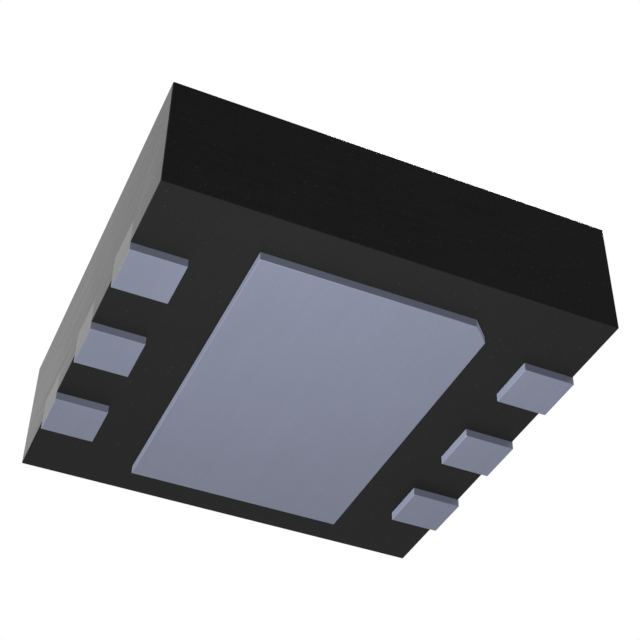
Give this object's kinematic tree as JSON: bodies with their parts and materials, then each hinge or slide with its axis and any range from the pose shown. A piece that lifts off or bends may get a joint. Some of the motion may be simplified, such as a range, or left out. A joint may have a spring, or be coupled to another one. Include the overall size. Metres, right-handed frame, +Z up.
{
  "type": "current sensor chip",
  "caption": "Flat square moulded chip that senses the current in a conductor below it, with solder lands along two sides and a thermal pad between them.",
  "frame": {"origin": "centre of the seating plane, on which the lands and the thermal pad stand", "axes": "+Z up from the board to the moulded top; X runs across the two rows of lands and Y along them; land 1 is at the corner of -X and +Y"},
  "size_m": [0.0024, 0.0024, 0.0008],
  "materials": {
    "mould_compound": "matte",
    "tinned_lead_frame": "satin",
    "silver_epoxy": "matte",
    "silicon": "polished",
    "soft_magnetic_alloy": "satin",
    "gold_wire": "polished"
  },
  "bodies": {
    "root": {"mould_body": "mould_compound", "thermal_pad": "tinned_lead_frame", "die_attach": "silver_epoxy", "sensor_die": "silicon", "flux_concentrator_1": "soft_magnetic_alloy", "flux_concentrator_2": "soft_magnetic_alloy", "land_1": "tinned_lead_frame", "land_2": "tinned_lead_frame", "land_3": "tinned_lead_frame", "land_4": "tinned_lead_frame", "land_5": "tinned_lead_frame", "land_6": "tinned_lead_frame", "bond_wire_1": "gold_wire", "bond_wire_2": "gold_wire", "bond_wire_3": "gold_wire", "bond_wire_4": "gold_wire", "bond_wire_5": "gold_wire", "bond_wire_6": "gold_wire"}
  },
  "joints": []
}
